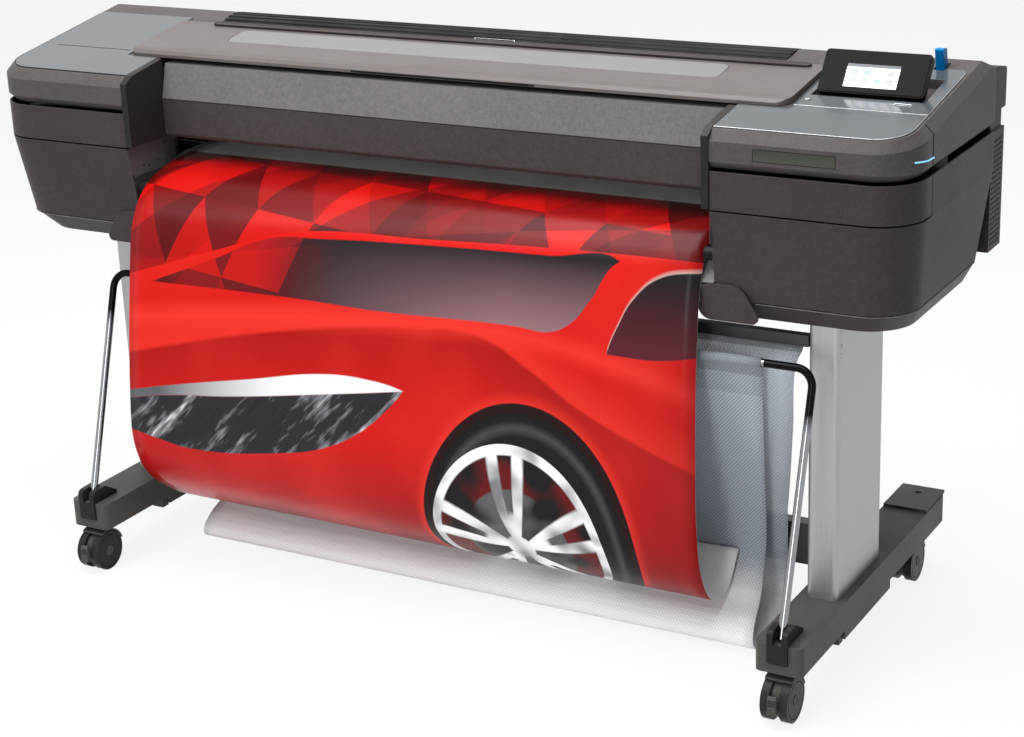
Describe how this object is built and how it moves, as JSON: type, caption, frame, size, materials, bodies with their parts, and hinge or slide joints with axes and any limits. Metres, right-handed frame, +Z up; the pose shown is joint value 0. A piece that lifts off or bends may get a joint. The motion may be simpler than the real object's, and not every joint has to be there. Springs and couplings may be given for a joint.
{
  "type": "large format plotter",
  "caption": "Wide roll-fed colour plotter on a wheeled stand, with ink bays behind doors, a touch display, a top lid, a rear roll and a cloth basket that catches the print.",
  "frame": {"origin": "on the floor under the middle of the printer body", "axes": "+X to the right as the user faces it, +Y to the back, +Z up"},
  "size_m": [1.802, 0.726, 1.027],
  "materials": {
    "body_plastic": "fine-grained dark grey-brown moulded plastic",
    "fascia_plastic": "fine-grained mid grey plastic",
    "gloss_panel": "glossy slate plastic",
    "black_plastic": "black plastic",
    "display_glass": "black glass with a lit screen",
    "blue_plastic": "blue plastic",
    "button_plastic": "silvery button",
    "stand_plastic": "dark grey cast and moulded stand parts",
    "wheel_plastic": "dark nylon wheel",
    "aluminium": "satin anodised extrusion",
    "dark_steel": "black painted steel",
    "zinc_steel": "zinc plated steel",
    "roller_rubber": "dark rubber",
    "chrome": "dark chromed steel rod",
    "cloth": "pale grey-blue open mesh",
    "paper": "white coated paper",
    "belt_rubber": "toothed rubber belt"
  },
  "bodies": {
    "printer": {"left_foot": "stand_plastic", "right_foot": "stand_plastic", "stand_columns": "aluminium", "cross_brace": "dark_steel", "basket_rail": "dark_steel", "hinge_brackets": "stand_plastic", "basket_cloth": "cloth", "base_beam": "zinc_steel", "side_plates": "zinc_steel", "left_lower_cover": "body_plastic", "right_lower_cover": "body_plastic", "left_top_cover": "body_plastic", "right_top_cover": "body_plastic", "top_panels": "gloss_panel", "cheek_bars": "body_plastic", "front_fascia": "fascia_plastic", "output_guide": "black_plastic", "rear_panel": "body_plastic", "electronics_box": "body_plastic", "carriage_rail": "aluminium", "service_station": "black_plastic", "scan_motor": "dark_steel", "drive_belt": "belt_rubber", "media_sheet": "paper"},
    "lid": {"lid": "body_plastic", "lid_window": "gloss_panel"},
    "roll_cover": {"roll_cover": "body_plastic"},
    "cover_latch": {"cover_latch": "black_plastic"},
    "left_ink_door": {"left_ink_door": "body_plastic"},
    "right_ink_door": {"right_ink_door": "body_plastic"},
    "display": {"display": "black_plastic", "display_glass": "display_glass"},
    "load_lever": {"load_lever": "blue_plastic"},
    "power_button": {"power_button": "button_plastic"},
    "carriage": {"carriage": "black_plastic", "print_heads": "black_plastic"},
    "motor_pulley": {"motor_pulley": "zinc_steel"},
    "idler_pulley": {"idler_pulley": "zinc_steel"},
    "roll": {"spindle": "black_plastic", "media_roll": "paper"},
    "feed_roller": {"feed_roller": "zinc_steel"},
    "pinch_rollers": {"pinch_rollers": "roller_rubber"},
    "basket_frame": {"basket_rods": "chrome", "basket_bar": "chrome"},
    "left_cartridge_1": {"left_cartridge_1": "black_plastic"},
    "left_cartridge_2": {"left_cartridge_2": "black_plastic"},
    "left_cartridge_3": {"left_cartridge_3": "black_plastic"},
    "right_cartridge_1": {"right_cartridge_1": "black_plastic"},
    "right_cartridge_2": {"right_cartridge_2": "black_plastic"},
    "right_cartridge_3": {"right_cartridge_3": "black_plastic"},
    "front_left_caster": {"front_left_caster_hood": "stand_plastic"},
    "front_left_wheels": {"front_left_caster_wheels": "wheel_plastic"},
    "front_left_brake": {"front_left_brake_pedal": "stand_plastic"},
    "front_right_caster": {"front_right_caster_hood": "stand_plastic"},
    "front_right_wheels": {"front_right_caster_wheels": "wheel_plastic"},
    "front_right_brake": {"front_right_brake_pedal": "stand_plastic"},
    "rear_left_caster": {"rear_left_caster_hood": "stand_plastic"},
    "rear_left_wheels": {"rear_left_caster_wheels": "wheel_plastic"},
    "rear_right_caster": {"rear_right_caster_hood": "stand_plastic"},
    "rear_right_wheels": {"rear_right_caster_wheels": "wheel_plastic"}
  },
  "joints": [
    {"name": "lid_hinge", "type": "hinge", "parent": "printer", "child": "lid", "pos_m": [0, 0.062, 0.97849], "axis": [-1, 0, 0], "range_deg": [0, 60]},
    {"name": "roll_cover_hinge", "type": "hinge", "parent": "printer", "child": "roll_cover", "pos_m": [0, 0.2205, 0.887], "axis": [-1, 0, 0], "range_deg": [0, 80]},
    {"name": "cover_latch_press", "type": "slide", "parent": "roll_cover", "child": "cover_latch", "axis": [0, 0, -1], "range_m": [0, 0.003], "stiffness_N_per_m": 300},
    {"name": "left_ink_door_hinge", "type": "hinge", "parent": "printer", "child": "left_ink_door", "pos_m": [-0.8995, -0.1255, 0.838], "axis": [0, 0, -1], "range_deg": [0, 100]},
    {"name": "right_ink_door_hinge", "type": "hinge", "parent": "printer", "child": "right_ink_door", "pos_m": [0.8995, -0.1255, 0.838], "axis": [0, 0, 1], "range_deg": [0, 100]},
    {"name": "left_cartridge_1_release", "type": "slide", "parent": "printer", "child": "left_cartridge_1", "axis": [0, -1, 0], "range_m": [0, 0.012]},
    {"name": "left_cartridge_2_release", "type": "slide", "parent": "printer", "child": "left_cartridge_2", "axis": [0, -1, 0], "range_m": [0, 0.012]},
    {"name": "left_cartridge_3_release", "type": "slide", "parent": "printer", "child": "left_cartridge_3", "axis": [0, -1, 0], "range_m": [0, 0.012]},
    {"name": "right_cartridge_1_release", "type": "slide", "parent": "printer", "child": "right_cartridge_1", "axis": [0, -1, 0], "range_m": [0, 0.012]},
    {"name": "right_cartridge_2_release", "type": "slide", "parent": "printer", "child": "right_cartridge_2", "axis": [0, -1, 0], "range_m": [0, 0.012]},
    {"name": "right_cartridge_3_release", "type": "slide", "parent": "printer", "child": "right_cartridge_3", "axis": [0, -1, 0], "range_m": [0, 0.012]},
    {"name": "display_tilt", "type": "hinge", "parent": "printer", "child": "display", "pos_m": [0.766, -0.034, 0.95602], "axis": [1, 0, 0], "range_deg": [-40, 20]},
    {"name": "load_lever_turn", "type": "hinge", "parent": "printer", "child": "load_lever", "pos_m": [0.833, 0.112, 0.97809], "axis": [1, 0, 0], "range_deg": [0, 25]},
    {"name": "power_button_press", "type": "slide", "parent": "printer", "child": "power_button", "axis": [0, 0, -1], "range_m": [0, 0.0015], "stiffness_N_per_m": 500},
    {"name": "carriage_travel", "type": "slide", "parent": "printer", "child": "carriage", "axis": [-1, 0, 0], "range_m": [0, 1.3]},
    {"name": "motor_pulley_spin", "type": "hinge", "parent": "printer", "child": "motor_pulley", "pos_m": [0.836, 0.047, 0.911], "axis": [0, 0, 1], "continuous": true},
    {"name": "idler_pulley_spin", "type": "hinge", "parent": "printer", "child": "idler_pulley", "pos_m": [-0.836, 0.047, 0.911], "axis": [0, 0, 1], "continuous": true},
    {"name": "roll_spin", "type": "hinge", "parent": "printer", "child": "roll", "pos_m": [0, 0.136, 0.906], "axis": [1, 0, 0], "continuous": true},
    {"name": "feed_roller_spin", "type": "hinge", "parent": "printer", "child": "feed_roller", "pos_m": [0, 0.046, 0.751], "axis": [1, 0, 0], "continuous": true},
    {"name": "pinch_rollers_spin", "type": "hinge", "parent": "printer", "child": "pinch_rollers", "pos_m": [0, 0.046, 0.7739], "axis": [1, 0, 0], "continuous": true},
    {"name": "basket_fold", "type": "hinge", "parent": "printer", "child": "basket_frame", "pos_m": [0.0384, -0.327, 0.1515], "axis": [1, 0, 0], "range_deg": [0, 35], "deforming": ["basket_cloth", "media_sheet"]},
    {"name": "front_left_caster_swivel", "type": "hinge", "parent": "printer", "child": "front_left_caster", "pos_m": [-0.6651, -0.298, 0.08], "axis": [0, 0, 1], "continuous": true},
    {"name": "front_left_wheels_roll", "type": "hinge", "parent": "front_left_caster", "child": "front_left_wheels", "pos_m": [-0.6651, -0.326, 0.038], "axis": [1, 0, 0], "continuous": true},
    {"name": "front_left_brake_press", "type": "hinge", "parent": "front_left_caster", "child": "front_left_brake", "pos_m": [-0.6651, -0.359, 0.038], "axis": [1, 0, 0], "range_deg": [0, 10]},
    {"name": "front_right_caster_swivel", "type": "hinge", "parent": "printer", "child": "front_right_caster", "pos_m": [0.7419, -0.298, 0.08], "axis": [0, 0, 1], "continuous": true},
    {"name": "front_right_wheels_roll", "type": "hinge", "parent": "front_right_caster", "child": "front_right_wheels", "pos_m": [0.7419, -0.326, 0.038], "axis": [1, 0, 0], "continuous": true},
    {"name": "front_right_brake_press", "type": "hinge", "parent": "front_right_caster", "child": "front_right_brake", "pos_m": [0.7419, -0.359, 0.038], "axis": [1, 0, 0], "range_deg": [0, 10]},
    {"name": "rear_left_caster_swivel", "type": "hinge", "parent": "printer", "child": "rear_left_caster", "pos_m": [-0.6651, 0.29, 0.08], "axis": [0, 0, 1], "continuous": true},
    {"name": "rear_left_wheels_roll", "type": "hinge", "parent": "rear_left_caster", "child": "rear_left_wheels", "pos_m": [-0.6651, 0.262, 0.038], "axis": [1, 0, 0], "continuous": true},
    {"name": "rear_right_caster_swivel", "type": "hinge", "parent": "printer", "child": "rear_right_caster", "pos_m": [0.7419, 0.29, 0.08], "axis": [0, 0, 1], "continuous": true},
    {"name": "rear_right_wheels_roll", "type": "hinge", "parent": "rear_right_caster", "child": "rear_right_wheels", "pos_m": [0.7419, 0.262, 0.038], "axis": [1, 0, 0], "continuous": true}
  ],
  "couplings": [
    {"joint": "motor_pulley_spin", "follows": "carriage_travel", "rad_per_m": -99},
    {"joint": "idler_pulley_spin", "follows": "carriage_travel", "rad_per_m": -99},
    {"joint": "feed_roller_spin", "follows": "roll_spin", "ratio": 3.8667},
    {"joint": "pinch_rollers_spin", "follows": "roll_spin", "ratio": -9.6667}
  ]
}
